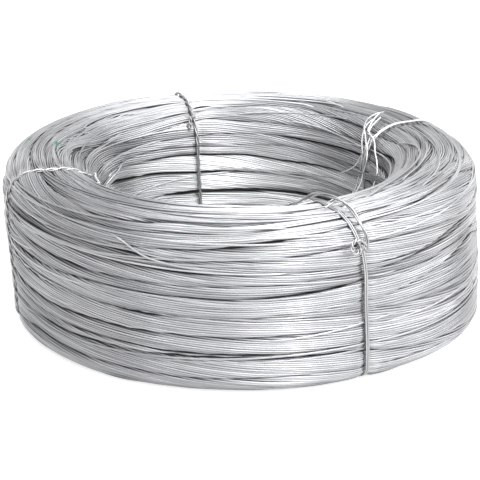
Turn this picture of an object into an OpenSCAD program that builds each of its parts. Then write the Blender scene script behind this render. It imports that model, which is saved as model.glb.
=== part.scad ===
// Coil of galvanized wire, lying flat and held by four wire ties.
// Millimetres. The origin is the middle of the coil's bottom, +Z is the coil's axis.

/* [Coil] */
// Outside diameter of the coil
outer_d = 342; // [280:1:440]
// Diameter of the eye through the coil
eye_d = 202; // [150:1:240]
// Height of the coil as it lies
coil_h = 117; // [90:1:160]
// Radius of the outer shoulder on top
top_outer_r = 22; // [14:1:26]
// Radius of the inner shoulder on top
top_inner_r = 34; // [14:1:36]
// Radius of the outer edge at the bottom
bottom_outer_r = 10; // [8:1:20]
// Radius of the inner edge at the bottom
bottom_inner_r = 12; // [8:1:20]

/* [Winding] */
// Diameter of the coiled wire
wire_d = 1.5; // [1.2:0.1:3]
// Width of one lay, a band of turns wound side by side
lay_w = 12.5; // [9:0.5:25]
// Depth of the valley between two lays
lay_sink = 1.4; // [0.4:0.1:2]
// Depth of the groove between two turns
turn_groove = 0.5; // [0.2:0.05:0.8]

/* [Ties] */
// Diameter of the tie wire
tie_d = 1.5; // [1.2:0.1:2]
// Length of one full twist of a roped tie
twist_w = 18; // [14:1:30]
// Corner radius where a tie turns under the coil
tie_corner_r = 12; // [8:1:16]
// Space between a tie and the turns under it
seat_gap = 0.3; // [0.2:0.05:0.5]
// Space between a tie and the floor
floor_gap = 0.3; // [0.2:0.05:1]
// Space between a tie and the bed that it lies in under the coil
bed_gap = 0.6; // [0.6:0.1:1.5]
// Direction of the tie at the front right, on the outer wall
front_angle = -62; // [-75:1:-50]
// Direction of the tie at the left, on the outer wall
left_angle = -165; // [-175:1:-145]
// Direction of the tie at the back, on the outer wall
back_angle = 107.5; // [95:0.5:125]
// Direction of the tie at the right, on the outer wall
right_angle = 26; // [15:1:40]
// How far the front tie has turned by the time it reaches the eye
front_lean = -4; // [-8:1:8]
// How far the left tie has turned by the time it reaches the eye
left_lean = 6; // [-8:1:8]
// How far the back tie has turned by the time it reaches the eye
back_lean = 1; // [-8:1:8]

/* [Knots] */
// Length of one full twist of a knot
knot_twist_w = 7; // [5:0.5:10]
// How far from its knot a strand leaves the turns
knot_lift_w = 7; // [5:0.5:10]
// Length of one full twist of the front tie's loose doubled end
arch_twist_w = 45; // [30:1:80]
// Radius of the eye that the front tie's end is curled into
curl_r = 4; // [4:0.5:6]

/* [Hidden] */

outer_r = outer_d / 2;
eye_r = eye_d / 2;
ring_w = outer_r - eye_r;
// The least flat stretch between the two top shoulders. On a narrow ring both get smaller for it
least_flat = 4;
shoulder_share = min(1, (ring_w - least_flat) / (top_outer_r + top_inner_r));
shoulder_outer_r = shoulder_share * top_outer_r;
shoulder_inner_r = shoulder_share * top_inner_r;
coil_faces = 240;
// Space between the two strands of a tie, and each strand's distance from their middle
strand_gap = 0.1;
strand_x = (tie_d + strand_gap) / 2;
// Half the thickness of two strands side by side, and of two strands twisted into a rope
pair_half = tie_d / 2;
rope_half = strand_x + tie_d / 2;
// How far below the top's shoulder a tie starts to lean
lean_start = 25;
strand_sides = 6;
rings_per_twist = 8;
galvanized = [0.78, 0.79, 0.80];
tie_grey = [0.70, 0.71, 0.72];

// ---- Outlines: a closed path of straights and bends, measured along its length ----

// A straight: its length, its start, the direction of its outward normal, and no radius
function straight(from, to) =
    [norm(to - from), from, atan2(to.y - from.y, to.x - from.x) - 90, 0];

// A quarter bend: its length, its centre, the normal it starts at, and its radius
function bend(centre, start, r) = [r * PI / 2, centre, start, r];

// The outline of a ring's section from r0 to r1 and z0 to z1, from the inner bottom corner on.
// Its corner radii are bottom inner, bottom outer, top outer and top inner.
function section_path(r0, r1, z0, z1, c) = [
    straight([r0 + c[0], z0], [r1 - c[1], z0]),
    bend([r1 - c[1], z0 + c[1]], -90, c[1]),
    straight([r1, z0 + c[1]], [r1, z1 - c[2]]),
    bend([r1 - c[2], z1 - c[2]], 0, c[2]),
    straight([r1 - c[2], z1], [r0 + c[3], z1]),
    bend([r0 + c[3], z1 - c[3]], 90, c[3]),
    straight([r0, z1 - c[3]], [r0, z0 + c[0]]),
    bend([r0 + c[0], z0 + c[0]], 180, c[0])
];

// The length of the first n pieces of a path
function length_to(path, n) = n <= 0 ? 0 : path[n - 1][0] + length_to(path, n - 1);

// The point and the outward normal at length s along one piece
function on_piece(piece, s) =
    piece[3] == 0
    ? [piece[1] + s * [cos(piece[2] + 90), sin(piece[2] + 90)], [cos(piece[2]), sin(piece[2])]]
    : let (a = piece[2] + s / piece[3] * 180 / PI)
      [piece[1] + piece[3] * [cos(a), sin(a)], [cos(a), sin(a)]];

// The point and the outward normal at length s along a path
function on_path(path, s, i = 0) =
    s <= path[i][0] || i == len(path) - 1
    ? on_piece(path[i], s)
    : on_path(path, s - path[i][0], i + 1);

// ---- The coil: one turned solid, lays on its walls and turns on every face ----

coil_path = section_path(
    eye_r, outer_r, 0, coil_h,
    [bottom_inner_r, bottom_outer_r, shoulder_outer_r, shoulder_inner_r]
);
coil_path_w = length_to(coil_path, len(coil_path));
bottom_w = coil_path[0][0];
turn_count = round(coil_path_w / wire_d);
turn_w = coil_path_w / turn_count;
lay_count = round((coil_path_w - bottom_w) / lay_w);
crest_start = 0.2;
crest_end = 0.8;

// How far the turns lie below the outline at length s: nothing on the flat bottom
function lay_depth(s) =
    s <= bottom_w
    ? 0
    : let (part = (s - bottom_w) / (coil_path_w - bottom_w))
      let (lay = part * lay_count + 0.3 * sin(3 * 360 * part))
      lay_sink * pow(abs(2 * (lay - floor(lay)) - 1), 6);

function turned_point(s, extra) =
    let (at = on_path(coil_path, s))
    at[0] - (lay_depth(s) + extra) * at[1];

turned_outline = [
    for (i = [0 : turn_count - 1], k = [0, crest_start, crest_end])
        turned_point((i + k) * turn_w, k == 0 ? turn_groove : 0)
];

// The bed that a tie of this half thickness presses into the bottom turns
module tie_bed(angle, half) {
    off = half + seat_gap;
    r = tie_corner_r - half - bed_gap;
    // The tie's corners under the coil turn about these places
    corner_x = [eye_r - off + tie_corner_r, outer_r + off - tie_corner_r];
    corner_z = floor_gap + half + tie_corner_r;
    rotate([0, 0, angle])
        rotate([90, 0, 0])
            linear_extrude(height = 6 * strand_x + 2 * bed_gap, center = true)
                difference() {
                    translate([eye_r - wire_d, -wire_d])
                        square([ring_w + 2 * wire_d, wire_d + corner_z]);
                    translate([corner_x[0], corner_z - r])
                        square([corner_x[1] - corner_x[0], 2 * r]);
                    for (x = corner_x)
                        translate([x, corner_z])
                            circle(r = r, $fn = 64);
                }
}

module coil() {
    color(galvanized)
        difference() {
            rotate_extrude($fn = coil_faces)
                polygon(turned_outline);
            tie_bed(front_angle, pair_half);
            tie_bed(right_angle, pair_half);
            tie_bed(left_angle, rope_half);
            tie_bed(back_angle, rope_half);
        }
}

// ---- Wires: a round section swept along a route ----

function unit(v) = v / norm(v);
function reversed(v) = [for (i = [len(v) - 1 : -1 : 0]) v[i]];
function turned(p, a) = [p.x * cos(a) - p.y * sin(a), p.x * sin(a) + p.y * cos(a), p.z];
function direction(p, i) = unit(p[min(i + 1, len(p) - 1)] - p[max(i - 1, 0)]);

// A vector square to the route at each point, carried along with as little turning as can be
function carried(p) = [
    for (
        i = 0,
        t = direction(p, 0),
        n = unit(cross(t, abs(t.z) < 0.9 ? [0, 0, 1] : [1, 0, 0]));
        i < len(p);
        i = i + 1,
        t = direction(p, min(i, len(p) - 1)),
        n = unit(n - (n * t) * t)
    ) n
];

module wire(route) {
    k = strand_sides;
    last = (len(route) - 1) * k;
    side = carried(route);
    rings = [
        for (i = [0 : len(route) - 1])
            let (u = side[i], v = cross(u, direction(route, i)))
            for (j = [0 : k - 1])
                route[i] + tie_d / 2 * (cos(360 * j / k) * u + sin(360 * j / k) * v)
    ];
    walls = [
        for (i = [0 : k : last - k], j = [0 : k - 1])
            let (a = i + j, b = i + (j + 1) % k)
            for (face = [[a, b, b + k], [a, b + k, a + k]])
                face
    ];
    caps = [[for (j = [k - 1 : -1 : 0]) j], [for (j = [0 : k - 1]) last + j]];
    polyhedron(rings, concat(walls, caps), convexity = 8);
}

// The point a share t of the way from b to c, on a smooth curve through a, b, c and d
function between(a, b, c, d, t) =
    b + t / 2 * (c - a) + t * t * (a - 2.5 * b + 2 * c - d / 2)
        + t * t * t / 2 * (3 * b - 3 * c + d - a);

// A smooth route through chosen points, with n steps between each two
function smooth(p, n) = concat(
    [
        for (i = [0 : len(p) - 2], k = [0 : n - 1])
            between(p[max(i - 1, 0)], p[i], p[i + 1], p[min(i + 2, len(p) - 1)], k / n)
    ],
    [p[len(p) - 1]]
);

// The points that join the end of one route to the start of another
function joined(p, q, n) = concat(
    p,
    [for (k = [1 : n - 1]) between(p[len(p) - 2], p[len(p) - 1], q[0], q[1], k / n)],
    q
);

// ---- Ties: one wire goes twice round the section, and its ends are twisted together ----

// The route of a tie's middle: on the turns, and in its bed at the bottom
function tie_path(half) =
    let (off = half + seat_gap)
    section_path(
        eye_r - off, outer_r + off, floor_gap + half, coil_h + off,
        [tie_corner_r, tie_corner_r, shoulder_outer_r + off, shoulder_inner_r + off]
    );

// A share that rises smoothly from 0 at length a to 1 at length b
function rise(s, a, b) =
    let (t = min(max((s - a) / (b - a), 0), 1))
    t * t * (3 - 2 * t);

// How far a tie has turned at length s: it leans over the top and comes back down the eye
function lean_at(path, s, lean) =
    lean * rise(s, length_to(path, 3) - lean_start, length_to(path, 5))
        * (1 - rise(s, length_to(path, 6), length_to(path, 7)));

// A point beside the tie's middle at length s: this far out from the turns and across the tie
function beside(path, s, out, across, lean) =
    let (p = on_path(path, s))
    turned(
        [p[0].x + out * p[1].x, across, p[0].y + out * p[1].y],
        lean_at(path, s, lean)
    );

// Lengths from a knot to each place that gets a ring, twice round the section
function stations(path, knot_s, straight_step, bend_step) = [
    for (round = [0 : 2], i = [0 : len(path) - 1])
        let (step = path[i][3] == 0 ? straight_step : bend_step)
        let (n = max(1, ceil(path[i][0] / step)))
        for (k = [0 : n - 1])
            let (s = length_to(path, i) + path[i][0] * k / n - knot_s)
            let (w = length_to(path, len(path)), total = s + round * w)
            if (total > knot_lift_w && total < 2 * w - knot_lift_w)
                total
];

// Two rounds with the strands side by side
function flat_rounds(path, knot_s, lean) =
    let (w = length_to(path, len(path)))
    [
        for (s = stations(path, knot_s, 12, 5))
            beside(path, (knot_s + s) % w, 0, strand_x * (2 * s / w - 2), lean)
    ];

// Two rounds with the strands twisted into a rope
function roped_rounds(path, knot_s, lean) =
    let (w = length_to(path, len(path)), twists = round(w / twist_w) + 0.5)
    let (n = 2 * twists * rings_per_twist, skip = ceil(n * knot_lift_w / (2 * w)))
    [
        for (i = [skip : n - skip])
            let (s = 2 * w * i / n, a = 720 * twists * i / n)
            beside(path, (knot_s + s) % w, strand_x * sin(a), strand_x * cos(a), lean)
    ];

// One of two strands that twist about the same middle
function twisted(middle, start, twist) =
    let (side = carried(middle))
    [
        for (i = [0 : len(middle) - 1])
            let (a = start + 360 * i * norm(middle[1] - middle[0]) / twist)
            let (u = side[i], v = cross(u, direction(middle, i)))
            middle[i] + strand_x * (cos(a) * u + sin(a) * v)
    ];

// A whole tie: one end, its strand of the knot, two rounds, and the same the other way
module tie(rounds, knot, start, first_end, second_end) {
    one = concat(twisted(knot, start, knot_twist_w), first_end);
    other = concat(twisted(knot, start + 180, knot_twist_w), second_end);
    wire(joined(joined(reversed(one), rounds, 3), other, 3));
}

// Points of knots and loose ends are [out from the axis, across the tie, up], chosen by
// hand and counted from the tie's middle at its knot, so that they move with the coil
function seated(points, seat) = [for (p = points) seat + p];

front_path = tie_path(pair_half);
front_knot_s = length_to(front_path, 3);
front_seat = beside(front_path, front_knot_s, 0, 0, front_lean);
// The knot's middle: out from the tie, then curled into an eye beside it
curl_centre = [4.6, -1.6 * curl_r, 4];
front_knot = concat(
    smooth([[1.8, 0, 0], [3.4, 0.6, 1.6], [4.4, 0.4, 5.4]], 3),
    [
        for (a = [60 : 20 : 380])
            let (r = curl_r * (1.1 - a / 1100))
            curl_centre + [a / 400, r * cos(a), 1.2 * r * sin(a)]
    ]
);
// A doubled end rises over the shoulder and arches across the eye's rim, loosely twisted
arch_points = [
    [0.6, 3.8, 0], [0.4, 3.4, 8.6], [-4.2, 1, 17.2], [-12.2, -0.4, 23.6], [-21, -2, 26.6],
    [-28, -3.4, 27.2], [-39, -4.6, 26], [-57, -1.8, 20.2], [-66, -4.4, 14.6], [-72, -9.6, 10],
    [-79, -12.4, 6], [-87, -15, 2]
];
// The points are for a ring this wide. Across a narrower ring they are drawn together, and
// across a wider one the arch is drawn out along the top
arch_ring_w = 70;
arch_steps = max(3, ceil(ring_w / 25));
function drawn_in(out) = out * min(1, ring_w / arch_ring_w);
function drawn_out(out) = max(0, ring_w - arch_ring_w) * min(1, max(0, (-12 - out) / 27));
front_arch = [for (p = arch_points) [drawn_in(p[0]) - drawn_out(p[0]), p[1], p[2]]];
// A loose piece crosses the tie on the eye's rim
rim_points = [
    [-22.6, -13.8, 23.6], [-23.8, -10, 24.3], [-25, -6.2, 25], [-27, -1.2, 24.3], [-29, 4, 23.5],
    [-31.3, 10.8, 23.4], [-34, 16.3, 23.4]
];
front_rim_end = [for (p = rim_points) [drawn_in(p[0]), p[1], p[2]]];

module tie_front() {
    color(tie_grey)
        rotate([0, 0, front_angle]) {
            tie(
                flat_rounds(front_path, front_knot_s, front_lean),
                seated(front_knot, front_seat), 0, [], []
            );
            for (start = [0, 180])
                wire(twisted(smooth(seated(front_arch, front_seat), arch_steps), start, arch_twist_w));
            wire(smooth(seated(front_rim_end, front_seat), 2));
        }
}

rope_path = tie_path(rope_half);
// Roped ties are knotted half way down the inner shoulder
rope_knot_s = length_to(rope_path, 5) + rope_path[5][0] / 2;
left_knot = smooth([[-1.4, 0, 1.4], [-2.4, 1, 3], [-2, 4, 4], [-1, 9, 3.6], [-1, 15, 3.4], [-1.5, 21, 3]], 4);
back_knot = smooth([[-1.4, 0, 1.4], [-2.4, 0.6, 2.8], [-4, 3, 2], [-5.5, 4.6, -2], [-6.2, 5, -7]], 4);

module roped_tie(angle, lean, knot) {
    seat = beside(rope_path, rope_knot_s, 0, 0, lean);
    rotate([0, 0, angle])
        tie(roped_rounds(rope_path, rope_knot_s, lean), seated(knot, seat), 0, [], []);
}

module tie_left() {
    color(tie_grey)
        roped_tie(left_angle, left_lean, left_knot);
}

module tie_back() {
    color(tie_grey)
        roped_tie(back_angle, back_lean, back_knot);
}

right_path = tie_path(pair_half);
right_knot_s = length_to(right_path, 5) + right_path[5][0] / 2;
right_seat = beside(right_path, right_knot_s, 0, 0, 0);
right_knot = smooth([[-1.4, 0, 1.4], [-2.4, 0.6, 2.6], [-2.6, 3, 4], [-1.4, 6, 5]], 3);
// Two ends loop back over the top and then hang in the eye
right_first_end = [
    [2.4, 8, 7.4], [8, 9.6, 10.6], [12.6, 12, 12.4], [11, 15, 11.6], [6, 15.6, 9],
    [1, 14, 6], [-3.4, 10.6, 1.4], [-6.4, 6.6, -4], [-8.4, 2.4, -9.6], [-10.6, 0.2, -18],
    [-11.4, 2, -27.6], [-12, 5.8, -38], [-13, 11.6, -46]
];
right_second_end = [
    [5, 11, 10.4], [13, 15, 14.4], [20, 19.6, 13.6], [15.6, 22.6, 12], [8.4, 22, 9.8],
    [3.4, 17.6, 8.6], [-2.8, 9.4, 6.8], [-7.6, -1, 1.8], [-10.4, -6, -4.2], [-13.4, -3.4, -11],
    [-14.6, -0.6, -16.4], [-15, 7, -22.6], [-16.6, 21, -30.2]
];
// A third wire hooks round the knot, and both its ends hang in the eye
right_hook = [
    [-14, 3, -41], [-13, -3.8, -31], [-12.6, -6.4, -22.6], [-11.6, -8.6, -15], [-10, -7.4, -9.2],
    [-7.4, -3, -3.4], [-4, -1.6, 2.4], [-3.6, -3.4, 3.4], [-4.6, -8.6, 1], [-7.6, -15, -4.6],
    [-12.4, -26, -9], [-16.6, -33.4, -15], [-16.4, -30, -22], [-16.6, -24.6, -33]
];

module tie_right() {
    color(tie_grey)
        rotate([0, 0, right_angle]) {
            tie(
                flat_rounds(right_path, right_knot_s, 0),
                seated(right_knot, right_seat), 0,
                smooth(seated(right_first_end, right_seat), 2),
                smooth(seated(right_second_end, right_seat), 2)
            );
            wire(smooth(seated(right_hook, right_seat), 2));
        }
}

coil();
tie_front();
tie_left();
tie_back();
tie_right();
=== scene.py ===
"""Looks of the coil of galvanized wire: its turns, its ties and its loose wires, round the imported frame."""

import math

import bpy
import numpy as np
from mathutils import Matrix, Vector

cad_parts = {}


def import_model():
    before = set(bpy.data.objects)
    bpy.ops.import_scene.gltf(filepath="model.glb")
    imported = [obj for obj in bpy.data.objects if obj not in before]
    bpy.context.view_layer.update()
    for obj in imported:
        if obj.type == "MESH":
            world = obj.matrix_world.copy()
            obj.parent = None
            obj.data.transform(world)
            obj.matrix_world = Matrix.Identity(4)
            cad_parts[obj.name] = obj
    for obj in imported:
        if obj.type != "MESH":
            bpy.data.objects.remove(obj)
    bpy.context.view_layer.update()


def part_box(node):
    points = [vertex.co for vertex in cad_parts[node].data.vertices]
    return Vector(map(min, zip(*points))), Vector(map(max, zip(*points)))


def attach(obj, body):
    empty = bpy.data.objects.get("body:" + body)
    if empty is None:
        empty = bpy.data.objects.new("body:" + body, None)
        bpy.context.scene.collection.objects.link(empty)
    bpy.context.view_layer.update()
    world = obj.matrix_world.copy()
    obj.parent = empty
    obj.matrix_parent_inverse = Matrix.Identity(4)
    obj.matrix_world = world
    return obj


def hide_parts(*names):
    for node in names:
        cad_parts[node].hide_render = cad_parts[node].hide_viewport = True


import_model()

# ---- Sizes, in millimetres unless a name says otherwise, as in the part's source ----

MM = 0.001
_, coil_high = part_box("coil")
outer_r = coil_high.x / MM
coil_h = coil_high.z / MM
eye_r = 101.0
bottom_inner_r, bottom_outer_r, top_outer_r, top_inner_r = 12.0, 10.0, 22.0, 34.0
wire_d = 1.5
wire_r = wire_d / 2
pitch = wire_d  # between the visible turns' middles
tie_d = 1.3
strand_x = (tie_d + 0.1) / 2  # from a pair's middle to a strand's
pair_half = tie_d / 2
rope_half = strand_x + tie_d / 2
twist_w = 18.0
tie_corner_r = 12.0
seat_gap = 0.3
tie_sink, rope_sink = 1.6, 2.6  # how far the plain and the twisted ties press into the turns
floor_gap = 0.3
front_angle, left_angle, back_angle, right_angle = -62.0, -165.0, 107.5, 26.0
front_lean, left_lean, back_lean = -4.0, 6.0, 1.0  # degrees that a tie turns as it crosses the top
lean_start = 25.0  # how far below the top of the wall a tie begins to lean
knot_twist_w = 7.0
arch_twist_w = 45.0
knot_lift_w = 7.0  # how far short of its knot a tie's rounds stop
curl_r = 4.0
painted_groove_shade = 0.3  # how much painted shade darkens a turn in the grooves beside it
eye_painted_groove_shade = 0.05  # and the same in the eye, which gets less of this painted shade
painted_sunk_shade = 0.75  # how much painted shade darkens a turn where it is sunk between others
painted_foot_shade = 0.35  # how much painted shade darkens the lowest turns, near the floor
lean_up = 0.021  # the coil stands this share higher at its left side and lower at its right
foot_shift = 3.0  # how far the coil's foot sits to the right of its top
full_low, full_angle, full_spread = 5.0, -36.0, 24.0  # how far, where and how widely it bulges low down
core_lift, deep_lift = -6.0, -4.4  # how far off the outline the core and the turns in the valleys lie

rng = np.random.default_rng(11)


def rise(x, low, high):
    """A share that rises smoothly from 0 at low to 1 at high."""
    t = np.clip((x - low) / (high - low), 0, 1)
    return t * t * (3 - 2 * t)


def apart(angle, middle):
    """How many degrees an angle lies from a middle one, from -180 to 180."""
    return (angle - middle + 180) % 360 - 180


# ---- The section's outline, measured along its length from the inner bottom corner ----


class Outline:
    """A ring's section with round corners. at(s) gives radius, height and the outward normal at length s.
    ends holds the lengths at which its stretches end: 1 the bottom, 2 the low outer corner, 3 the outer
    wall, 4 the high outer corner, 5 the top, 6 the high inner corner and 7 the eye's wall."""

    def __init__(self, r0, r1, z0, z1, corners, step=0.25):
        inner_low, outer_low, outer_high, inner_high = corners
        self.ends = [0.0]
        rows = []

        def straight(start, end, normal):
            length = math.dist(start, end)
            for t in np.linspace(0, 1, max(2, int(length / step))):
                place = [a + (b - a) * t for a, b in zip(start, end)]
                rows.append([self.ends[-1] + length * t, *place, *normal])
            self.ends.append(self.ends[-1] + length)

        def bend(centre, first, radius):
            length = radius * math.pi / 2
            for t in np.linspace(0, 1, max(2, int(length / step))):
                a = math.radians(first + 90 * t)
                n = (math.cos(a), math.sin(a))
                place = (centre[0] + radius * n[0], centre[1] + radius * n[1])
                rows.append([self.ends[-1] + length * t, *place, *n])
            self.ends.append(self.ends[-1] + length)

        straight((r0 + inner_low, z0), (r1 - outer_low, z0), (0, -1))
        bend((r1 - outer_low, z0 + outer_low), -90, outer_low)
        straight((r1, z0 + outer_low), (r1, z1 - outer_high), (1, 0))
        bend((r1 - outer_high, z1 - outer_high), 0, outer_high)
        straight((r1 - outer_high, z1), (r0 + inner_high, z1), (0, 1))
        bend((r0 + inner_high, z1 - inner_high), 90, inner_high)
        straight((r0, z1 - inner_high), (r0, z0 + inner_low), (-1, 0))
        bend((r0 + inner_low, z0 + inner_low), 180, inner_low)
        self.table = np.array(rows).T
        self.length = self.ends[-1]

    def at(self, s):
        s = np.mod(s, self.length)
        return [np.interp(s, self.table[0], row) for row in self.table[1:]]


coil_outline = Outline(
    eye_r, outer_r, 0.0, coil_h, (bottom_inner_r, bottom_outer_r, top_outer_r, top_inner_r)
)
bottom_w = coil_outline.ends[1]


def surface(angle, s, lift):
    """Points at this angle round the coil, this length along its section and this lift off its outline."""
    r, z, out_r, out_z = coil_outline.at(s)
    r, z = r + lift * out_r, z + lift * out_z
    points = np.stack([r * np.cos(angle), r * np.sin(angle), z], 1)
    outward = np.stack([out_r * np.cos(angle), out_r * np.sin(angle), out_z], 1)
    return points, outward


def smooth(points, steps):
    """A smooth route through chosen points."""
    p = np.array(points, float)
    made = []
    for i in range(len(p) - 1):
        a, b, c, d = p[max(i - 1, 0)], p[i], p[i + 1], p[min(i + 2, len(p) - 1)]
        for k in range(steps):
            t = k / steps
            made.append(
                b + t / 2 * (c - a) + t * t * (a - 2.5 * b + 2 * c - d / 2)
                + t**3 / 2 * (3 * b - 3 * c + d - a)
            )
    return np.array(made + [p[-1]])


# ---- Tubes and meshes ----


class Tubes:
    """Wires gathered into one mesh: round tubes with closed ends. Each point knows its wire's tone, its
    length along the wire and how much painted shade darkens the wire there."""

    def __init__(self):
        self.places, self.quads, self.caps = [], [], []
        self.tone, self.along, self.shade = [], [], []
        self.count = 0

    def add(self, path, side, radius, sides, tone, sunk=None, groove=painted_groove_shade):
        """One wire along a path. side is a vector across it at each point, to start its section at.
        Where sunk is given, side is the way out, and painted shade darkens the wire underneath and where it
        is sunk."""
        forward = np.gradient(path, axis=0)
        forward /= np.linalg.norm(forward, axis=1, keepdims=True)
        # u and v span the wire's section at each point
        u = side - (side * forward).sum(1, keepdims=True) * forward
        u /= np.linalg.norm(u, axis=1, keepdims=True)
        v = np.cross(u, forward)
        turn = np.arange(sides) * 2 * math.pi / sides
        ring = np.cos(turn)[None, :, None] * u[:, None] + np.sin(turn)[None, :, None] * v[:, None]
        self.places.append((path[:, None] + radius * ring).reshape(-1, 3))
        rings = len(path)
        i = np.arange(rings - 1)[:, None] * sides
        j = np.arange(sides)[None]
        k = (j + 1) % sides
        quad = np.stack([i + j, i + sides + j, i + sides + k, i + k], -1).reshape(-1, 4)
        self.quads.append(quad + self.count)
        first = np.arange(sides) + self.count
        self.caps += [first, first[::-1] + (rings - 1) * sides]
        step = np.linalg.norm(np.diff(path, axis=0), axis=1)
        run = np.concatenate([[0], np.cumsum(step)])
        self.along.append(np.repeat(run * MM, sides))
        self.tone.append(np.full(rings * sides, tone))
        if sunk is None:
            self.shade.append(np.ones(rings * sides))
        else:
            # Painted shade: each wire's underside is darker, standing in for the shade in the grooves between
            # turns, and a sunk wire is darker still
            under = 1 - groove * rise(-np.cos(turn), -0.5, 0.5)
            self.shade.append(np.outer(1 - painted_sunk_shade * rise(sunk, 0.5, 3.2), under).ravel())
        self.count += rings * sides

    def make(self, name, material):
        return make_mesh(
            name,
            np.concatenate(self.places),
            np.concatenate(self.quads),
            self.caps,
            material,
            {
                "tone": np.concatenate(self.tone),
                "along": np.concatenate(self.along),
                "shade": np.concatenate(self.shade),
            },
        )


def settled(places):
    """Points as the coil lies: it leans, its foot sits to the right, and it bulges low at the front right."""
    x, y, z = places.T
    r, angle = np.hypot(x, y), np.arctan2(y, x)
    off = apart(np.degrees(angle), full_angle)
    bulge = np.exp(-((off / full_spread) ** 2)) * rise(r, 125, 158) * rise(z, 0, 8) * (1 - rise(z, 24, 62))
    out = full_low * bulge + foot_shift * np.cos(angle) * (1 - rise(z, 10, 85))
    right = out * np.cos(angle)
    # At the right it stays inside the CAD's box
    room = np.maximum(outer_r - 0.1 - x, 0.001)
    right = np.where(x * right > 0, room * (1 - np.exp(-right / room)), right)
    return np.stack([x + right, y + out * np.sin(angle), z * (1 - lean_up * x / outer_r)], 1)


def make_mesh(name, places, quads, caps, material, values):
    """A smooth mesh object from points in millimetres, four-sided faces and end faces. values are numbers
    at its points, by name."""
    corners = np.concatenate([quads.ravel(), *caps]) if caps else quads.ravel()
    sizes = np.array([4] * len(quads) + [len(c) for c in caps])
    # Painted shade: the lowest points of every piece, near the floor, are darker
    values["shade"] = values["shade"] * (1 - painted_foot_shade * (1 - rise(places[:, 2], 1, 10)))
    places = settled(places)
    mesh = bpy.data.meshes.new(name)
    mesh.vertices.add(len(places))
    mesh.vertices.foreach_set("co", (places * MM).astype(np.float32).ravel())
    mesh.loops.add(len(corners))
    mesh.loops.foreach_set("vertex_index", corners.astype(np.int32))
    mesh.polygons.add(len(sizes))
    mesh.polygons.foreach_set("loop_start", (np.cumsum(sizes) - sizes).astype(np.int32))
    mesh.polygons.foreach_set("use_smooth", np.ones(len(sizes), bool))
    mesh.update(calc_edges=True)
    for key, value in values.items():
        layer = mesh.attributes.new(key, "FLOAT", "POINT")
        layer.data.foreach_set("value", value.astype(np.float32))
    mesh.materials.append(material)
    piece = bpy.data.objects.new(name, mesh)
    bpy.context.collection.objects.link(piece)
    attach(piece, "root")
    return piece


# ---- Materials ----


class Shading:
    """The nodes of a material or a world, each made and joined in one call."""

    def __init__(self, owner):
        owner.use_nodes = True
        self.tree = owner.node_tree

    def feed(self, node, **sockets):
        """Sets a node's sockets, by name, to a constant or to the output that feeds them."""
        for name, value in sockets.items():
            self.feed_socket(node.inputs[name.replace("_", " ")], value)

    def feed_socket(self, socket, value):
        """Sets one socket to a constant or to the output that feeds it."""
        if isinstance(value, bpy.types.NodeSocket):
            self.tree.links.new(value, socket)
        else:
            socket.default_value = value

    def node(self, kind, *first_sockets, **settings):
        """A new node, whose first sockets are fed in their order."""
        made = self.tree.nodes.new("ShaderNode" + kind)
        for name, value in settings.items():
            setattr(made, name, value)
        for socket, value in zip(made.inputs, first_sockets):
            self.feed_socket(socket, value)
        return made

    def maths(self, operation, *values):
        return self.node("Math", *values, operation=operation).outputs[0]

    def shown(self):
        """1 for the rays that show the background, which are camera and mirror rays, and 0 for the others."""
        rays = self.node("LightPath").outputs
        return self.maths("MAXIMUM", rays["Is Camera Ray"], rays["Is Glossy Ray"])

    def value_of(self, attribute):
        """The value of this name that make_mesh gave each point."""
        return self.node("Attribute", attribute_name=attribute).outputs["Fac"]

    def noise(self, place, scale, detail):
        made = self.node("TexNoise")
        self.feed(made, Vector=place, Scale=scale, Detail=detail)
        return made.outputs["Fac"]


green_paint = (0.04, 0.15, 0.115, 1)


def speckled(made, where, specks):
    """Where small specks of paint with ragged edges lie: 1 on them and 0 beside them."""
    ragged = made.noise(where, 700.0, 2.0)
    mask = None
    for place, radius in specks:
        away = made.node("VectorMath", where, place, operation="DISTANCE").outputs["Value"]
        uneven = made.maths("MULTIPLY_ADD", ragged, radius * 1.2, away)
        on = made.maths("LESS_THAN", uneven, radius * 1.6)
        mask = on if mask is None else made.maths("MAXIMUM", mask, on)
    return mask


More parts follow.
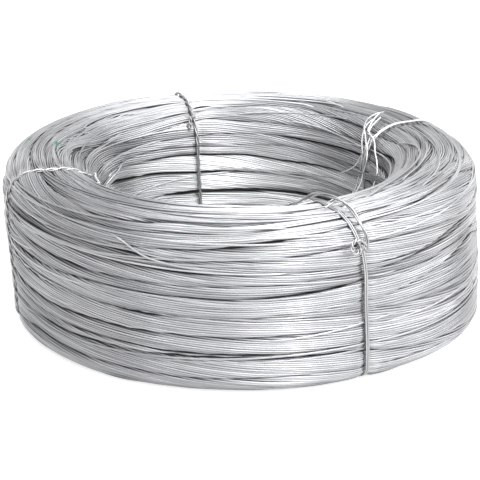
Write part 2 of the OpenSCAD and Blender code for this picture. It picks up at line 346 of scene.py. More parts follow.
def galvanized(name, dull, bright, rough, metal, drawn=0.0, specks=()):
    """Zinc-coated wire: each wire has its own tone, with streaks along it, duller patches of bloom and,
    where given, specks of green paint. Drawing lines spread its sheen across a wire that runs round
    the coil, by the amount drawn. Painted shade darkens its colour by the shade value at each point."""
    material = bpy.data.materials.new(name)
    made = Shading(material)
    tone = made.value_of("tone")
    where = made.node("TexCoord").outputs["Object"]
    # Streaks are long along a wire and differ from wire to wire
    along = made.node("CombineXYZ", made.value_of("along"), tone).outputs[0]
    streak_place = made.node("VectorMath", along, (28, 60, 1), operation="MULTIPLY").outputs[0]
    streak = made.noise(streak_place, 1.0, 3.0)
    patch = made.noise(where, 22.0, 4.0)
    own = made.maths("MULTIPLY", tone, 0.3)
    with_patch = made.maths("MULTIPLY_ADD", patch, 0.35, own)
    cleanness = made.maths("MULTIPLY_ADD", streak, 0.45, with_patch)

    ramp = made.node("ValToRGB", cleanness)
    for stop, position, colour in zip(ramp.color_ramp.elements, (0.3, 0.75), (dull, bright)):
        stop.position = position
        stop.color = (*colour, 1)
    # Painted shade: the colour is scaled by the shade value that make_mesh gave each point
    shaded = made.node("VectorMath", ramp.outputs["Color"], operation="SCALE")
    made.feed(shaded, Scale=made.value_of("shade"))
    shader = made.tree.nodes["Principled BSDF"]
    if specks:
        mask = speckled(made, where, specks)
        painted = made.node("Mix", data_type="RGBA")
        for number, value in ((0, mask), (6, shaded.outputs[0]), (7, green_paint)):
            made.feed_socket(painted.inputs[number], value)
        bare = made.maths("MULTIPLY_ADD", mask, -metal, metal)
        made.feed(shader, Base_Color=painted.outputs[2], Metallic=bare)
    else:
        made.feed(shader, Base_Color=shaded.outputs[0], Metallic=metal)

    roughness = made.node("MapRange")
    made.feed(roughness, Value=cleanness, From_Min=0.3, From_Max=0.7, To_Min=rough[1], To_Max=rough[0])
    made.feed(shader, Roughness=roughness.outputs["Result"])
    if drawn:
        lines = made.node("Tangent", direction_type="RADIAL", axis="Z")
        made.feed(shader, Tangent=lines.outputs["Tangent"], Anisotropic=drawn, Anisotropic_Rotation=0.25)
    bump = made.node("Bump")
    made.feed(bump, Height=made.noise(where, 900.0, 2.0), Strength=0.04, Distance=0.0003)
    made.feed(shader, Normal=bump.outputs["Normal"])
    return material


def speck(angle, s, radius):
    """A speck of paint on the turns, as its place and radius in metres."""
    speck_lift = -1.2
    place = settled(surface(np.radians([angle]), np.array([s]), np.array([speck_lift]))[0])[0]
    return [v * MM for v in place], radius * MM


paint_specks = [speck(175, 199.5, 3.2), speck(170, 176, 1.8), speck(171.5, 176.6, 1.5)]

# Each finish: its dull and bright colours, its roughness where clean and where dull, and its share of metal
wire_finish = galvanized(
    "galvanized_wire", (0.295, 0.30, 0.315), (0.505, 0.51, 0.52), (0.32, 0.44), 0.85, 0.95, paint_specks
)
# A lighter copy of the wire finish for the eye's turns: painted light, brighter than the lamps alone make
# them
lit_eye_finish = galvanized(
    "galvanized_wire_eye_painted_light", (0.46, 0.47, 0.485), (0.77, 0.78, 0.785), (0.32, 0.44), 0.85, 0.95
)
# Near-black: painted shade for the turns deep in the valleys and for the core
deep_shade_finish = galvanized(
    "galvanized_wire_deep_painted_shade", (0.04, 0.042, 0.045), (0.09, 0.09, 0.09), (0.45, 0.6), 0.7
)
tie_finish = galvanized("galvanized_tie", (0.28, 0.285, 0.30), (0.52, 0.52, 0.515), (0.28, 0.45), 0.85)
# A lighter copy of the tie finish: painted light on the right tie's strands, which the lamps hardly reach
# inside the eye
lit_tie_finish = galvanized(
    "galvanized_tie_painted_light", (0.36, 0.365, 0.38), (0.65, 0.65, 0.64), (0.3, 0.45), 0.85
)
# A darker copy of the tie finish: painted shade on the back tie
shaded_tie_finish = galvanized(
    "galvanized_tie_painted_shade", (0.16, 0.165, 0.18), (0.32, 0.32, 0.32), (0.35, 0.5), 0.8
)


# ---- The coil: lays of turns. A lay is a band of turns that run side by side and slowly cross it ----

around = 180  # steps round the coil
angles = np.arange(around) * 2 * math.pi / around
degrees = np.degrees(angles)
tuck, tuck_slope = 2.4, 1.25  # how far past its lay's edge a wire dives under the next, and how steeply
rim_drop, rim_w = 0.8, 1.5  # how much lower a lay lies at its edges, and over what width
over_lift, over_w = 0.6, 3.0  # how far a lay stands over its neighbour where they meet, and how widely


def off_from(middle):
    """How many degrees each step round the coil lies from this angle."""
    return apart(degrees, middle)


def waves(orders, size):
    """A slow random wave round the coil."""
    total = np.zeros(around)
    for order in orders:
        total += rng.normal() * np.cos(order * angles + rng.uniform(0, 2 * math.pi))
    return size * total / math.sqrt(len(orders) / 2)


def soften(values, width):
    """Values round the coil, blurred over this many degrees."""
    weight = np.exp(-0.5 * (off_from(0) / width) ** 2)
    return np.fft.irfft(np.fft.rfft(values) * np.fft.rfft(weight / weight.sum()), around)


# Where the lays meet: the length along the outline where the edge runs as a rule, and where it was
# seen to run, as angles and lengths
edge_marks = [
    (63, [(-150, 69), (-128, 66.5), (-95, 65.2), (-50, 65.8), (-22, 63)]),
    (75, [(-158, 82), (-134, 78.5), (-117, 80.2), (-90, 80), (-63, 77.2), (-46, 70.5), (-21, 66.8)]),
    (85, [(-158, 90), (-136, 85), (-112, 83), (-95, 82), (-60, 81.8), (-42, 82.2), (-18, 87.2)]),
    (95, [(-159, 98), (-140, 94.8), (-105, 95.5), (-88, 94), (-72, 95.2), (-50, 94.2), (-26, 90.5)]),
    (105, [(-158, 112), (-136, 110), (-108, 106.5), (-80, 107), (-55, 103.8), (-30, 98), (-20, 96.5)]),
    (115, [(-157, 113.5), (-120, 108.8), (-90, 106.5), (-72, 109.8), (-55, 112.8), (-35, 120.8),
           (-21, 125.2)]),
    (125, [(-162, 121), (-142, 122), (-100, 121), (-90, 119.5), (-72, 123.5), (-50, 126.8),
           (-22, 131.8)]),
    (134, [(-156, 135.8), (-139, 131.2), (-114, 128.8), (-95, 129), (-53, 132.5), (-27, 138),
           (-20, 138.4)]),
    (143, [(-160, 144), (-148, 144.8), (-120, 141), (-95, 137.2), (-60, 136.3), (-40, 137.8), (-30, 141)]),
    (151, [(-148, 151.5), (-129, 150.4), (-100, 146), (-80, 148.5), (-60, 151.5), (-42, 149.2),
           (-20, 146)]),
    (160, [(-154, 156.8), (-129, 151.5), (-100, 154.5), (-84, 159.5), (-60, 168.5), (-37, 172.8),
           (-20, 175)]),
    (170, [(-159, 167.5), (-140, 162.2), (-120, 163), (-90, 167), (-72, 172.5), (-39, 178.8),
           (-17, 184)]),
    (181, [(-156, 182.8), (-137, 176), (-124, 168.2), (-106, 173.5), (-94, 171.2), (-74, 179),
           (-29, 190.5)]),
    (192, [(-156, 191), (-130, 188.5), (-110, 188.5), (-80, 189), (-44, 197.8), (-18, 199.8)]),
    (203, [(-152, 205), (-121, 203.8), (-90, 204), (-48, 206), (-9, 207.8), (64, 199.5), (108, 199),
           (160, 208)]),
    (213, [(20, 219.2), (49, 216), (74, 210.5), (108, 216.5), (128, 221.2), (160, 225.5)]),
    (227, [(19, 230.5), (49, 229.5), (88, 228.2), (104, 224.8), (118, 229), (138, 233.2)]),
    (239, [(14, 240.2), (59, 239.8), (88, 238.2), (138, 239.2), (159, 237.8)]),
    (249, [(13, 250), (49, 249.5), (78, 248), (128, 245.5), (148, 244.2)]),
    (260, [(44, 259.2), (69, 259), (98, 255), (128, 252.2), (148, 249), (159, 247.5)]),
    (272, [(49, 269.8), (87, 269.8), (108, 268.8), (128, 264), (160, 255.8)]),
    (286, [(49, 286.2), (99, 285.2), (126, 282.2)]),
    (300, []),
    (313, []),
    (326, []),
]


def edge_curve(base, marks):
    """A lay's edge round the coil: through its marks, and drifting slowly elsewhere."""
    drift = base + waves([1, 2, 3, 4], 1.5)
    if not marks:
        return drift
    # It drifts freely away from its marks, and not between them where they cover one side only
    free = np.ones(around, bool)
    for angle, _ in marks:
        free &= np.abs(off_from(angle)) > 14
    low = min(angle for angle, _ in marks)
    high = max(angle for angle, _ in marks)
    if high - low < 200:
        free &= np.abs(off_from((low + high) / 2)) > (high - low) / 2
    at = np.concatenate([degrees[free], [angle % 360 for angle, _ in marks]])
    values = np.concatenate([drift[free], [value for _, value in marks]])
    return soften(np.interp(degrees, at, values, period=360), 2.2) + waves([7, 11, 16], 0.25)


edges = [np.full(around, bottom_w)]
for base, marks in edge_marks:
    edges.append(np.maximum(edge_curve(base, marks), edges[-1] + 0.2))
edges.append(np.full(around, coil_outline.length))
lay_count = len(edges) - 1

# How far each edge stands open, and where it was seen open: edge, middle, half width, gap
gaps = [np.zeros(around)]
gaps += [np.clip(waves([1, 2, 3, 4, 6], 0.6) - 0.45, -1.1, 0.9) for _ in edge_marks]
gaps.append(np.zeros(around))
for edge, middle, half, gap in (
    (2, -96, 17, 0.9), (3, -96, 17, 0.9), (4, -152, 10, 1.2), (4, -122, 14, 1.0), (2, -133, 12, 0.7),
    (9, -150, 10, 1.3), (9, -112, 16, 1.1), (11, -87, 8, 1.6), (10, -118, 8, 1.2), (7, -73, 7, 1.0),
    (6, -27, 9, 1.6), (5, -114, 6, 0.9), (5, -150, 7, 1.0), (7, -150, 8, 0.9), (8, -138, 14, 0.9),
    (9, -33, 7, 1.3), (8, -38, 14, 0.7), (3, -24, 8, 1.2), (13, -117, 8, 1.0), (1, -140, 14, 1.0),
    (12, -100, 5, 0.8), (13, -148, 9, 0.8), (20, 90, 55, 1.2), (21, 115, 30, 1.6), (21, 148, 10, 2.2),
    (22, 90, 40, 2.6), (18, 50, 30, 1.0), (16, 55, 12, 0.9), (15, 140, 8, 1.4), (15, -108, 30, 1.5),
    (15, -66, 22, 2.8), (13, -98, 12, -0.2),
):
    near = 1 - rise(np.abs(off_from(middle)), half * 0.6, half)
    gaps[edge] = gaps[edge] * (1 - near) + gap * near

# Which lay stands over its neighbour at each edge: above 0 the one before the edge, below 0 the one after
over = [np.zeros(around)]
over += [np.clip(waves([1, 2, 3, 5], 0.9), -1, 1) for _ in edge_marks]
over.append(np.zeros(around))


def tie_press():
    """How far the ties press the turns in: a little over a wide stretch, and more right under a tie."""
    total = 0
    for tie in (front_angle, left_angle, back_angle, right_angle):
        for depth, width in ((0.3, 5.0), (1.8, 1.3)):
            total = total + depth * np.exp(-((off_from(tie) / width) ** 2))
    return total


pressed = tie_press()

# Slits that stand open between turns: half their width, and their way as angles and lengths
slits = [
    (0.6, [(-124, 167), (-116, 170), (-107.5, 174.5)]),
    (0.5, [(-131, 78), (-120.5, 78), (-112.5, 77), (-104, 76)]),
    (0.5, [(-146, 79), (-136, 84), (-127, 87)]),
    (0.5, [(-61, 162), (-52.5, 163.5), (-46, 166)]),
    (0.5, [(-93, 107), (-87, 107.5), (-82.5, 109), (-76, 110)]),
    (1.1, [(128, 211.5), (138, 206.5), (148, 200)]),
    (1.5, [(147, 210), (159.5, 209), (171.5, 205), (179, 204), (189, 202)]),
    (0.8, [(35, 206), (48.5, 208), (60, 206.5)]),
    (1.0, [(-20, 217), (-10.5, 222), (4, 227), (20, 228)]),
    (0.8, [(-44, 178), (-34, 181), (-24, 183.5)]),
    (0.7, [(-25, 192.5), (-19, 193), (-11, 197.5)]),
    (0.6, [(-30, 167), (-18, 161), (-6, 156)]),
    (1.6, [(100.5, 212.3), (104, 212), (108, 212.5)]),
]


def parted(angle, s):
    """Lengths along the outline, pushed apart where a slit stands open."""
    for half, marks in slits:
        first, last = marks[0][0], marks[-1][0]
        way = (np.degrees(angle) - first) % 360
        off = s - np.interp(way, [mark[0] - first for mark in marks], [mark[1] for mark in marks])
        share = (way / (last - first)).clip(0, 1)
        open_half = half * rise(share, 0, 0.3) * (1 - rise(share, 0.7, 1))
        s = s + open_half * np.tanh(off / 0.7) * np.exp(-np.abs(off) / 4)
    return s


laps = 3  # a wire that crosses its lay slowly goes round this many times at most
shortest = 5  # steps round the coil that a wire must show for, or it is left out
rim_lay = 16  # the first lay of the eye's rim
low_eye_lay = 22  # the lays from here on are low in the eye, and their wires have a side fewer


def lay(tubes, number):
    """One lay: wires side by side between its two edges. Each wire slowly crosses the lay and then dives
    under its neighbour."""
    gap_low, gap_high = gaps[number], gaps[number + 1]
    low = edges[number] + gap_low / 2 + wire_r
    high = edges[number + 1] - gap_high / 2 - wire_r
    middle = (low + high) / 2
    # Where the lay has no room, its wires keep to its middle
    closed = high < low
    low, high = np.where(closed, middle, low), np.where(closed, middle, high)
    # How fast the wires cross the lay, faster at two places: in millimetres a degree, and then a step
    rate = -0.13 + waves([1, 2, 3, 5], 0.09)
    for faster, place, width in ((0.10, -130, 34), (0.06, -40, 26)):
        rate -= faster * np.exp(-((off_from(place) / width) ** 2))
    rate = np.minimum(rate, -0.02) * 360 / around
    crossed = max(3, round(-rate.sum() / pitch))
    rate *= crossed * pitch / -rate.sum()
    drift = np.concatenate([[0], np.cumsum(rate)])[:-1]
    drift = np.concatenate([drift - lap * crossed * pitch for lap in range(laps)])
    low, high, middle = [np.tile(v, laps) for v in (low, high, soften(middle, 6))]
    # How the turns lie uneven: in bumps, as deep as the lay is, pressed by the ties, and in bunches
    bumpy = [np.tile(waves([5, 8, 11, 17, 23], size), laps) for size in (0.16, 0.10)]
    drop = np.tile(0.4 + np.abs(waves([1, 2, 4], 0.4)), laps)
    press = np.tile(pressed, laps)
    bunch = np.tile(waves([1, 2, 3], 2.0), laps)
    over_low, over_high = np.tile(over[number], laps), np.tile(over[number + 1], laps)
    all_angles = np.arange(laps * around) * 2 * math.pi / around
    # Wires enough to fill the lay all the way round
    first = int((low.min() - tuck - middle.max() - drift[: around + 1].max()) / pitch) - 2
    last = int((high.max() + tuck - middle.min() - drift[: around + 1].min()) / pitch) + 2
    for wire in range(first, last + 1):
        wobble = 0.08 * np.sin(all_angles * (4 + wire % 5) + wire)
        wanted = wire * pitch + drift + middle + wobble + 0.1 * np.sin(wire * 1.3 + bunch)
        inside = (wanted > low - tuck) & (wanted < high + tuck)
        # Each stretch inside the lay that starts in the first lap is one wire
        starts = np.flatnonzero(inside[1 : around + 1] & ~inside[:around]) + 1
        for start in starts:
            stop = start + int(np.argmin(np.append(inside[start:], False)))
            if stop - start < shortest:
                continue
            part = slice(start, stop)
            s = np.clip(wanted[part], low[part], high[part])
            past = np.abs(wanted[part] - s)
            rim = np.minimum(s - low[part], high[part] - s)
            lift = -wire_r - drop[part] - tuck_slope * past - rim_drop * np.exp(-rim / rim_w) - press[part]
            lift += over_lift * over_high[part] * np.exp(-(high[part] - s) / over_w)
            lift -= over_lift * over_low[part] * np.exp(-(s - low[part]) / over_w)
            lift += bumpy[0][part] * np.cos(wire * 1.7) + bumpy[1][part] * np.sin(wire * 2.3)
            lift = np.minimum(lift, -wire_r)
            path, outward = surface(all_angles[part], parted(all_angles[part], s), lift)
            # Painted shade in the grooves beside the wire, less of it in the eye
            groove = painted_groove_shade if number < rim_lay else eye_painted_groove_shade
            sides = 6 if number < low_eye_lay else 5
            # How far the wire is sunk between others, not counting the ties' press, which sets its painted
            # shade
            sunk = -wire_r - lift - press[part]
            tubes.add(path, outward, wire_r, sides, rng.uniform(), sunk, groove)


bottom_lays = 4


def bottom_lay(tubes, number):
    """One lay of the flat bottom, pressed level by the coil's weight: one wire wound outward, whose ends
    dive inside."""
    width = bottom_w / bottom_lays
    turns = round(width / wire_d)
    t = np.linspace(0, 2 * math.pi * turns, turns * 90 + 1)
    angle = t + rng.uniform(0, 2 * math.pi)
    s = width * (number + (t / t[-1] * (turns - 1) + 0.5) / turns)
    end_depth, end_turn = 4.0, 0.2
    lift = -wire_r - tie_bed(angle)
    lift -= end_depth * (1 - rise(t, 0, end_turn)) + end_depth * rise(t, t[-1] - end_turn, t[-1])
    path, outward = surface(angle, s, lift)
    tubes.add(path, outward, wire_r, 5, rng.uniform(), -wire_r - lift)


def tie_bed(angle):
    """How far the bottom turns give way over a tie."""
    total = 0
    for tie, depth in ((front_angle, 2.2), (right_angle, 2.2), (left_angle, 3.8), (back_angle, 3.8)):
        off = np.abs(apart(np.degrees(angle), tie))
        total = total + depth * (1 - rise(off, 1.4, 4.5))
    return total


def crossing(tubes, s0, s1, start, span, lift):
    """A wire that leaves one lay and crosses others to another: it rises, crosses on top and dives.
    start and span are degrees round the coil."""
    t = np.linspace(0, 1, max(8, int(span / 2.2)))
    angle = math.radians(start) + math.radians(span) * t
    s = s0 + (s1 - s0) * rise(t, 0, 1) + 0.5 * np.sin(t * rng.uniform(4, 9) + rng.uniform(0, 6))
    dive_depth, dive_span = 3.6, 9
    dive = dive_depth * (1 - rise(t * span, 0, dive_span) * (1 - rise(t * span, span - dive_span, span)))
    press = np.interp(np.degrees(angle) % 360, degrees, pressed, period=360)
    lift = lift - dive - press
    path, outward = surface(angle, s, lift)
    tubes.add(path, outward, wire_r, 6, rng.uniform(), -wire_r - lift)


# The lays in pieces, by where they lie
for name, first, last in (
    ("turns_outer_low", 0, 6), ("turns_outer_high", 6, 11), ("turns_shoulder", 11, rim_lay),
    ("turns_rim", rim_lay, 20), ("turns_eye", 20, lay_count),
):
    tubes = Tubes()
    for number in range(first, last):
        lay(tubes, number)
    # The eye's turns take the lighter copy of the finish, painted light
    tubes.make(name, lit_eye_finish if name == "turns_eye" else wire_finish)

tubes = Tubes()
for number in range(bottom_lays):
    bottom_lay(tubes, number)
tubes.make("turns_bottom", wire_finish)

# Wires that cross from lay to lay
crossings = Tubes()
for low, high, count in ((60, 150, 40), (150, 200, 26), (200, 250, 22), (250, 325, 26)):
    for _ in range(count):
        s0 = rng.uniform(low, high)
        s1 = np.clip(s0 + rng.choice([-1, 1]) * rng.uniform(3, 12), low - 3, high + 3)
        start, span, depth = rng.uniform(0, 360), rng.uniform(40, 140), rng.uniform(0, 0.5)
        crossing(crossings, s0, s1, start, span, -wire_r - depth)
crossings.make("turns_crossing", wire_finish)

# Loose turns that lie on the others, through points given as angle, length and lift
stray_routes = [
    [(14, 216, -3), (3, 207, 0.2), (-6.5, 203.2, 0.8), (-20, 203.6, 0.8), (-28, 203.8, 0.7),
     (-35.5, 202.5, 0.6), (-42.5, 200, 0.4), (-49.5, 196, 0), (-60, 189, -2.5)],
    [(-123, 161, -2.5), (-117, 155.5, -0.5), (-111, 147, -0.3), (-104, 143, -0.5), (-95, 140, -2.5)],
    [(148, 246, -2.5), (154.5, 249, 0.2), (160.5, 251, 0.2), (168, 255, -2.5)],
    [(40, 253, -2.5), (32, 251.5, 1.2), (22, 250, 2.2), (11, 245.5, 2.4), (0, 241, 1.8), (-14, 234, -2)],
    [(38, 255, -2.5), (31, 253.4, 0.8), (22, 251.8, 1.8), (11, 247.3, 2.0), (0, 243, 1.4), (-14, 236, -2)],
    [(43, 256.5, -2.5), (33, 255.4, 0.6), (22, 253.6, 1.5), (11, 249.2, 1.6), (0, 245, 1.0), (-14, 238, -2)],
]
stray_tone = 0.6
strays = Tubes()
for route in stray_routes:
    angle, s, lift = smooth(route, 6).T
    path, outward = surface(np.radians(angle), s, lift)
    strays.add(path, outward, wire_r, 6, stray_tone)
strays.make("turns_stray", wire_finish)

# Deeper turns, three about the length of each edge, that show in the valleys between lays, near-black as
# painted shade
deep = Tubes()
angle = np.linspace(0, 2 * math.pi, 121)
end_depth = 1.5
for edge in range(1, lay_count):
    for across in (-1.6, 0, 1.6):
        edge_s = np.interp(np.degrees(angle), degrees, edges[edge], period=360)
        s = edge_s + across + 0.8 * np.sin(angle * 2 + edge)
        lift = deep_lift + 0.3 * np.sin(3 * angle + edge)
        lift = lift - end_depth * (1 - rise(angle, 0, 0.2)) - end_depth * rise(angle, 6.08, 6.28)
        path, outward = surface(angle + edge, s, lift)
        deep.add(path, outward, wire_r, 4, rng.uniform())
deep.make("turns_deep", deep_shade_finish)


def core():
    """The mass of turns inside, as one ridged ring, near-black as painted shade."""
    rows = int(coil_outline.length / wire_d)
    steps = 96
    s = np.arange(rows) * coil_outline.length / rows
    lift = core_lift + 0.4 * np.cos(np.arange(rows) * math.pi)
    angle = np.arange(steps) * 2 * math.pi / steps
    places = np.concatenate([surface(np.full(rows, a), s, lift)[0] for a in angle])
    i = (np.arange(steps) * rows)[:, None]
    i_next = ((np.arange(steps) + 1) % steps * rows)[:, None]
    j = np.arange(rows)[None]
    k = (j + 1) % rows
    quads = np.stack([i + j, i_next + j, i_next + k, i + k], -1).reshape(-1, 4)
    spread = 0.618  # makes the tones of neighbouring rows unlike
    tone = np.tile(np.arange(rows) * spread % 1, steps)
    along = np.repeat(angle * outer_r * MM, rows)
    values = {"tone": tone, "along": along, "shade": np.ones(len(tone))}
    return make_mesh("turns_core", places, quads, [], deep_shade_finish, values)


core()
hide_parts("coil")


# ---- Ties ----


def tie_outline(half, sink):
    """The way of a tie's middle round the section. half is the tie's own half thickness."""
    off = half + seat_gap - sink
    return Outline(
        eye_r - off, outer_r + off, floor_gap + half, coil_h + off,
        (tie_corner_r, tie_corner_r, top_outer_r + off, top_inner_r + off),
    )


def lean_at(outline, s, lean):
    """How far a tie has turned at length s: it leans over the top and comes back down the eye."""
    over_top = rise(s, outline.ends[3] - lean_start, outline.ends[5])
    down_eye = rise(s, outline.ends[6], outline.ends[7])
    return lean * over_top * (1 - down_eye)


def beside(outline, s, out, across, lean):
    """Points so far out from and across a tie's middle at length s, in the tie's own frame."""
    s = np.mod(np.atleast_1d(s).astype(float), outline.length)
    r, z, out_r, out_z = outline.at(s)
    x = r + out * out_r
    y = across + 0 * s
    a = np.radians(lean_at(outline, s, lean))
    return np.stack([x * np.cos(a) - y * np.sin(a), x * np.sin(a) + y * np.cos(a), z + out * out_z], 1)


def carried(path):
    """A vector across the route at each point, carried along with as little turning as can be."""
    forward = np.gradient(path, axis=0)
    forward /= np.linalg.norm(forward, axis=1, keepdims=True)
    start = np.array([0, 0, 1.0]) if abs(forward[0][2]) < 0.9 else np.array([1.0, 0, 0])
    side = np.cross(forward[0], start)
    sides = []
    for way in forward:
        side = side - side.dot(way) * way
        side /= np.linalg.norm(side)
        sides.append(side)
    return np.array(sides)


def twisted(middle, start, twist):
    """One of two strands that twist about the same middle."""
    side = carried(middle)
    forward = np.gradient(middle, axis=0)
    forward /= np.linalg.norm(forward, axis=1, keepdims=True)
    run = np.concatenate([[0], np.cumsum(np.linalg.norm(np.diff(middle, axis=0), axis=1))])
    a = (math.radians(start) + 2 * math.pi * run / twist)[:, None]
    return middle + strand_x * (np.cos(a) * side + np.sin(a) * np.cross(side, forward))


def joined(first, second):
    """Two routes with a smooth bridge from the end of one to the start of the other."""
    steps = 6
    bridge = smooth([first[-2], first[-1], second[0], second[1]], steps)[steps:2 * steps + 1]
    return np.concatenate([first, bridge[1:-1], second])


def around_section(outline, knot_s, lean, roped):
    """The two rounds of a tie from its knot back to its knot: side by side, or roped about each other."""
    total = 2 * outline.length
    s = np.arange(knot_lift_w, total - knot_lift_w, 1.5)
    if roped:
        twists = round(outline.length / twist_w) + 0.5
        a = 2 * math.pi * twists * s / outline.length
        return beside(outline, knot_s + s, strand_x * np.sin(a), strand_x * np.cos(a), lean)
    return beside(outline, knot_s + s, 0, strand_x * (2 * s / outline.length - 2), lean)


def turned(points, angle):
    """Points turned round the coil's axis by an angle in degrees."""
    a = math.radians(angle)
    x, y, z = np.asarray(points, float).T
    return np.stack([x * math.cos(a) - y * math.sin(a), x * math.sin(a) + y * math.cos(a), z], 1)


def tie_wire(tubes, path, angle):
    """One wire of the tie that lies at this angle, along a path in the tie's own frame."""
    path = turned(path, angle)
    tubes.add(path, carried(path), tie_d / 2, 8, rng.uniform())


def whole_tie(rounds, knot, first_end=(), second_end=()):
    """One wire: its end, a strand of the knot, two rounds, the knot's other strand and the other end."""
    one = twisted(knot, 0, knot_twist_w)
    other = twisted(knot, 180, knot_twist_w)
    if len(first_end):
        one = joined(one, first_end)
        other = joined(other, second_end)
    return joined(joined(one[::-1], rounds), other)


tie_finishes = {
    "tie_front": tie_finish,
    "tie_left": tie_finish,
    # The back tie takes the darker copy, painted shade
    "tie_back": shaded_tie_finish,
    "tie_right": lit_tie_finish,
# The right tie takes the lighter copy, painted light
}


def finish_tie(tubes, node):
    piece = tubes.make(node + "_wire", tie_finishes[node])
    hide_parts(node)


flat_outline = tie_outline(pair_half, tie_sink)
rope_outline = tie_outline(rope_half, rope_sink)


def make_tie_front():
    knot_s = flat_outline.ends[3]
    seat = beside(flat_outline, knot_s, 0, 0, front_lean)[0]
    centre = np.array([4.6, -1.6 * curl_r, 4])
    curl = []
    for a in range(60, 381, 8):
        r = curl_r * (1.1 - a / 1100)
        curl.append(centre + [a / 400, r * math.cos(math.radians(a)), 1.2 * r * math.sin(math.radians(a))])
    knot = np.concatenate([smooth([[1.8, 0, 0], [3.4, 0.6, 1.6], [4.4, 0.4, 5.4]], 8), curl])
    arch = [
        [0.6, 3.8, 0], [0.4, 3.4, 8.6], [-4.2, 1, 17.2], [-12.2, -0.4, 23.6], [-21, -2, 26.6],
        [-28, -3.4, 27.2], [-39, -4.6, 26], [-57, -1.8, 20.2], [-66, -4.4, 14.6], [-72, -9.6, 10],
        [-79, -12.4, 6], [-87, -15, 2],
    ]
    rim_end = [
        [-22.6, -13.8, 23.6], [-23.8, -10, 24.3], [-25, -6.2, 25], [-27, -1.2, 24.3], [-29, 4, 23.5],
        [-31.3, 10.8, 23.4], [-34, 16.3, 23.4],
    ]
    tubes = Tubes()
    rounds = around_section(flat_outline, knot_s, front_lean, False)
    tie_wire(tubes, whole_tie(rounds, knot + seat), front_angle)
    for start in (0, 180):
        tie_wire(tubes, twisted(smooth(arch, 8) + seat, start, arch_twist_w), front_angle)
    tie_wire(tubes, smooth(rim_end, 8) + seat, front_angle)
    finish_tie(tubes, "tie_front")


def make_roped_tie(node, angle, lean, knot):
    knot_s = (rope_outline.ends[5] + rope_outline.ends[6]) / 2
    seat = beside(rope_outline, knot_s, 0, 0, lean)[0]
    tubes = Tubes()
    rounds = around_section(rope_outline, knot_s, lean, True)
    tie_wire(tubes, whole_tie(rounds, smooth(knot, 10) + seat), angle)
    finish_tie(tubes, node)


def make_tie_right():
    knot_s = (flat_outline.ends[5] + flat_outline.ends[6]) / 2
    seat = beside(flat_outline, knot_s, 0, 0, 0)[0]
    knot = smooth([[-1.4, 0, 1.4], [-2.4, 0.6, 2.6], [-2.6, 3, 4], [-1.4, 6, 5]], 8)
    first_end = [
        [2.4, 8, 7.4], [8, 9.6, 10.6], [12.6, 12, 12.4], [11, 15, 11.6], [6, 15.6, 9],
        [1, 14, 6], [-3.4, 10.6, 1.4], [-6.4, 6.6, -4], [-8.4, 2.4, -9.6], [-10.6, 0.2, -18],
        [-11.4, 2, -27.6], [-12, 5.8, -38], [-13, 11.6, -46],
    ]
    second_end = [
        [5, 11, 10.4], [13, 15, 14.4], [20, 19.6, 13.6], [15.6, 22.6, 12], [8.4, 22, 9.8],
        [3.4, 17.6, 8.6], [-2.8, 9.4, 6.8], [-7.6, -1, 1.8], [-10.4, -6, -4.2], [-13.4, -3.4, -11],
        [-14.6, -0.6, -16.4], [-15, 7, -22.6], [-16.6, 21, -30.2],
    ]
    hook = [
        [-14, 3, -41], [-13, -3.8, -31], [-12.6, -6.4, -22.6], [-11.6, -8.6, -15], [-10, -7.4, -9.2],
        [-7.4, -3, -3.4], [-4, -1.6, 2.4], [-3.6, -3.4, 3.4], [-4.6, -8.6, 1], [-7.6, -15, -4.6],
        [-12.4, -26, -9], [-16.6, -33.4, -15], [-16.4, -30, -22], [-16.6, -24.6, -33],
    ]
    tubes = Tubes()
    rounds = around_section(flat_outline, knot_s, 0, False)
    ends = [smooth(end, 7) + seat for end in (first_end, second_end)]
    tie_wire(tubes, whole_tie(rounds, knot + seat, *ends), right_angle)
    tie_wire(tubes, smooth(hook, 7) + seat, right_angle)
    finish_tie(tubes, "tie_right")


make_tie_front()
make_roped_tie(
    "tie_left", left_angle, left_lean,
    [[-1.4, 0, 1.4], [-2.4, 1, 3], [-2, 4, 4], [-1, 9, 3.6], [-1, 15, 3.4], [-1.5, 21, 3]],
)
make_roped_tie(
    "tie_back", back_angle, back_lean,
    [[-1.4, 0, 1.4], [-2.4, 0.6, 2.8], [-4, 3, 2], [-5.5, 4.6, -2], [-6.2, 5, -7]],
)
make_tie_right()


# ---- Floor, light and camera ----


def floor():
    """A pale floor that keeps the coil's shadow, and that nothing below it sees."""
    half = 20.0
    mesh = bpy.data.meshes.new("floor")
    corners = [(-half, -half, 0), (half, -half, 0), (half, half, 0), (-half, half, 0)]
    mesh.from_pydata(corners, [], [(0, 1, 2, 3)])
    material = bpy.data.materials.new("floor")
    made = Shading(material)
    nodes = made.tree.nodes
    nodes.remove(nodes["Principled BSDF"])
    matte = made.node("BsdfDiffuse", (0.55, 0.55, 0.55, 1))
    glow = made.node("Emission")
    made.feed(glow, Strength=made.maths("MULTIPLY", made.shown(), 0.75))
    from_above = made.node("AddShader", matte.outputs[0], glow.outputs[0])
    from_below = made.node("BsdfTransparent")
    below = made.node("NewGeometry").outputs["Backfacing"]
    either = made.node("MixShader", below, from_above.outputs[0], from_below.outputs[0])
    made.feed(nodes["Material Output"], Surface=either.outputs[0])
    mesh.materials.append(material)
    ob = bpy.data.objects.new("floor", mesh)
    bpy.context.collection.objects.link(ob)


def world():
    """Even light from all round, that camera and mirror rays see as white."""
    studio = bpy.data.worlds.new("studio")
    bpy.context.scene.world = studio
    made = Shading(studio)
    strength = made.node("MapRange")
    made.feed(strength, Value=made.shown(), To_Min=0.35, To_Max=1.0)
    made.feed(made.tree.nodes["Background"], Color=(1, 1, 1, 1), Strength=strength.outputs["Result"])


lamp_aim = (0, 0, 0.06)  # about the coil's middle, in metres
strip_distance, strip_z, strip_width, strip_height = 1.5, 1.25, 0.5, 2.4
panel_width = 0.7


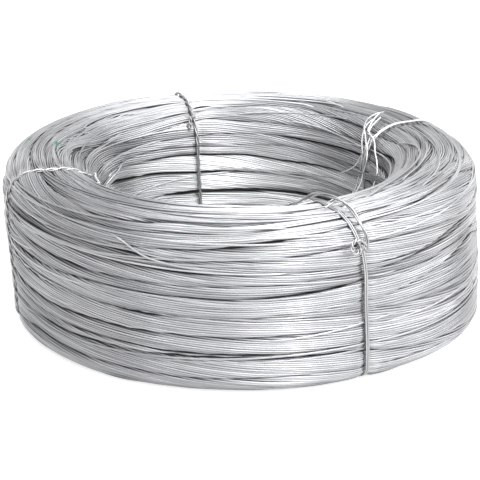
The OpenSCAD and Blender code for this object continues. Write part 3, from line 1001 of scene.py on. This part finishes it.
def lamp(name, place, width, height, power):
    """A soft lamp at a place in metres, aimed at the coil's middle."""
    data = bpy.data.lights.new(name, "AREA")
    data.shape = "RECTANGLE"
    data.size = width
    data.size_y = height
    data.energy = power
    ob = bpy.data.objects.new(name, data)
    bpy.context.collection.objects.link(ob)
    ob.location = place
    x, y, z = [a - b for a, b in zip(lamp_aim, place)]
    ob.rotation_euler = (math.acos(-z / math.dist(lamp_aim, place)), 0, math.atan2(-x, y))
    ob.visible_camera = False


floor()
world()
# Upright strips round the coil, as name, azimuth and power, and two square panels above it
strips = (
    ("left_front", -124, 3.0),
    ("front_left", -104, 4.5),
    ("front", -84, 8.0),
    ("front_near", -64, 18.0),
    ("front_right", -44, 12.5),
    ("right_front", -24, 9.5),
    ("right", -4, 11.0),
    ("right_back", 16, 11.0),
    ("far_right", 56, 5.0),
    ("back_left", 116, 4.0),
)
for name, azimuth, power in strips:
    turn = math.radians(azimuth)
    place = (strip_distance * math.cos(turn), strip_distance * math.sin(turn), strip_z)
    lamp(name, place, strip_width, strip_height, power)
lamp("left_high", (-0.65, -0.375, 1.8), panel_width, panel_width, 6.5)
lamp("back_high", (0, 0.75, 1.8), panel_width, panel_width, 13.0)

# The photo's camera, fitted to the coil's rims, in metres and radians
distance = 1.3
elevation = math.radians(19.9)
roll = -0.0166
aim_z = 0.0577
camera_data = bpy.data.cameras.new("camera")
camera_data.lens = 133.56
camera_data.shift_x = -0.0022
camera_data.shift_y = -0.0339
camera = bpy.data.objects.new("camera", camera_data)
bpy.context.collection.objects.link(camera)
camera.location = (0, -distance * math.cos(elevation), aim_z + distance * math.sin(elevation))
tilt_half, roll_half = (math.pi / 2 - elevation) / 2, roll / 2
camera.rotation_mode = "QUATERNION"
camera.rotation_quaternion = (
    math.cos(tilt_half) * math.cos(roll_half),
    math.sin(tilt_half) * math.cos(roll_half),
    -math.sin(tilt_half) * math.sin(roll_half),
    math.cos(tilt_half) * math.sin(roll_half),
)

scene = bpy.context.scene
scene.camera = camera
scene.view_settings.view_transform = "Standard"
